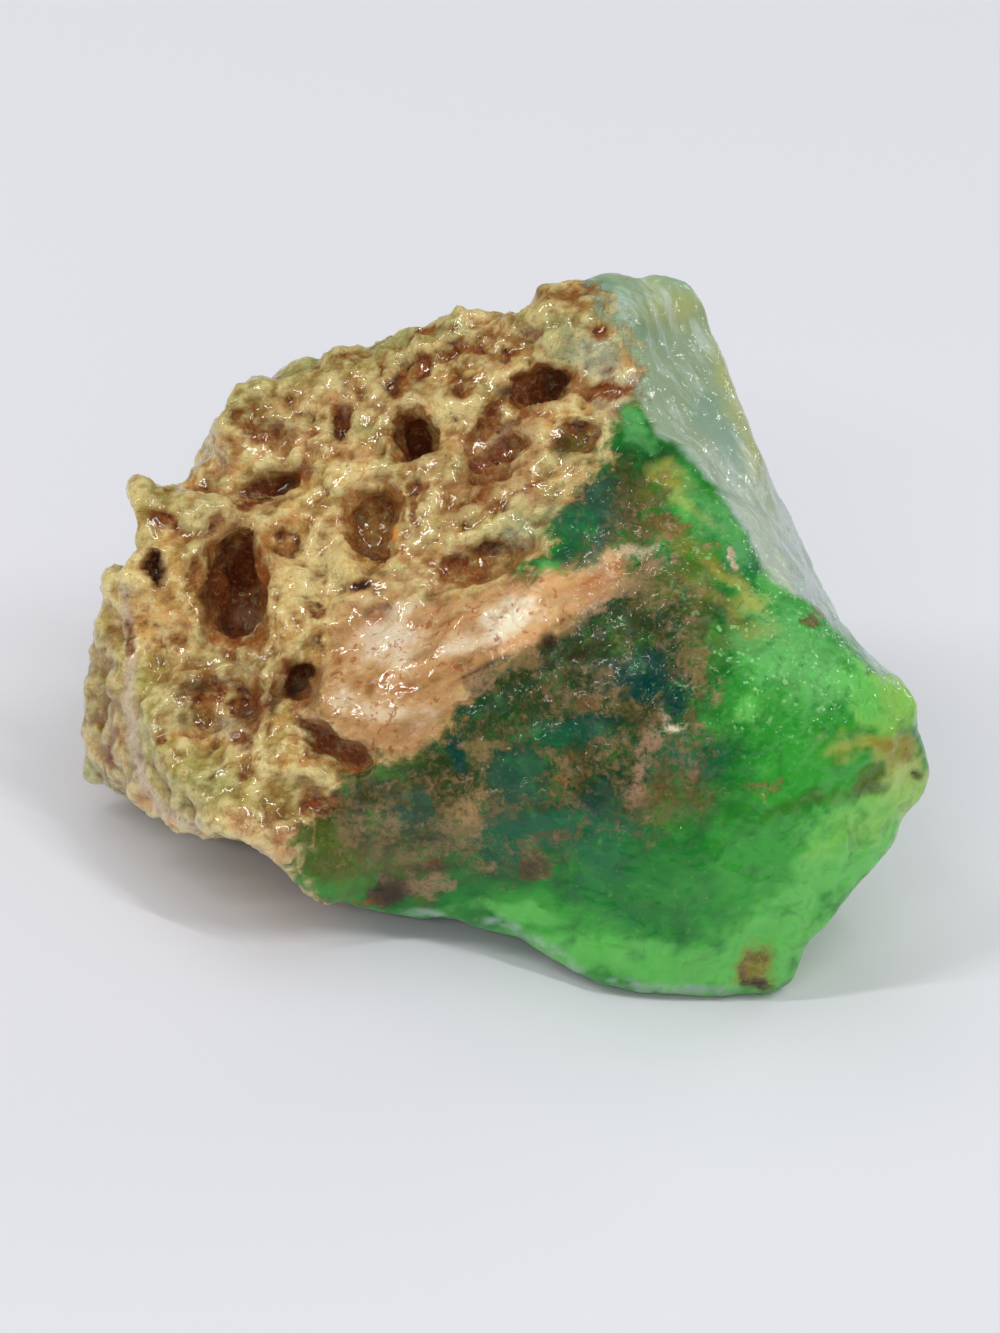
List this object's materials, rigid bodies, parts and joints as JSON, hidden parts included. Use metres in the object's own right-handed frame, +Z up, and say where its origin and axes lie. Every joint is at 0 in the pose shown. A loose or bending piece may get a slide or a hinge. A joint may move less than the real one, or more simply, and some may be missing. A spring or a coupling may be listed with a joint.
{
  "type": "raw chrysoprase",
  "caption": "Raw unworked lump of chrysoprase: pitted tan crust on its sloping top, a lip of cream vein, and a glossy green body running out to a blunt tip",
  "frame": {"origin": "middle of the footprint's bounding box, on the ground that the stone stands on", "axes": "+X runs along the longest side, from the thin crusted end to the green tip; +Y runs from the steep green front to the back; +Z is up"},
  "size_m": [0.0636, 0.0472, 0.0413],
  "materials": {
    "stone": "waxy, wet gloss"
  },
  "bodies": {
    "root": {"chrysoprase_stone": "stone"}
  },
  "joints": []
}
